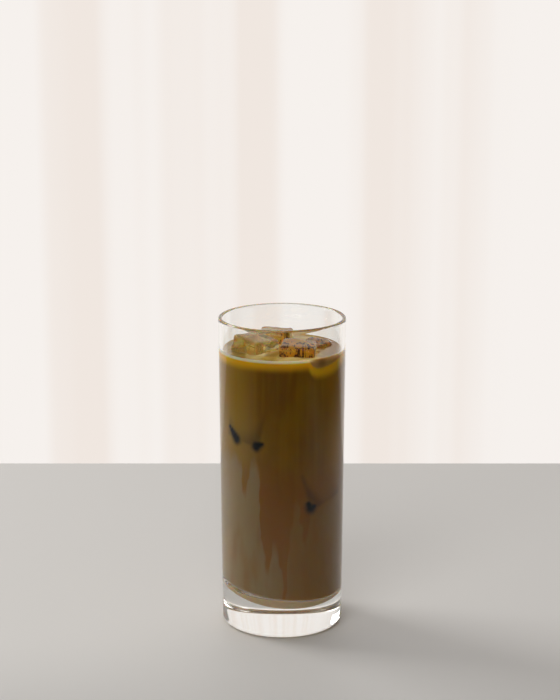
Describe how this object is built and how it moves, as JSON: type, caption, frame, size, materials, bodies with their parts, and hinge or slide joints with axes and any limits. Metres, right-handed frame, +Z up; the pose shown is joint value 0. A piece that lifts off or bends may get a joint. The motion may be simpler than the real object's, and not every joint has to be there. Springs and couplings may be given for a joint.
{
  "type": "iced latte in a highball glass",
  "caption": "Iced coffee with milk in a tall straight clear glass with a thick slanted bottom, with ice floating at the surface.",
  "frame": {"origin": "centre of the foot on the surface that the glass stands on, on the glass's axis", "axes": "+Z up along the glass; -Y is the front of the drink, +X its right, where the glass floor is lowest"},
  "size_m": [0.064, 0.064, 0.16],
  "materials": {
    "clear_glass": "fire-polished clear soda-lime glass",
    "coffee_layer": "opaque liquid, wet and glossy on top",
    "milk_layer": "opaque liquid with more milk in it",
    "ice": "wet, slightly cloudy ice"
  },
  "bodies": {
    "root": {"glass": "clear_glass", "coffee_layer": "coffee_layer", "milk_layer": "milk_layer", "ice_front": "ice", "ice_left": "ice", "ice_back": "ice", "ice_right": "ice"}
  },
  "joints": []
}
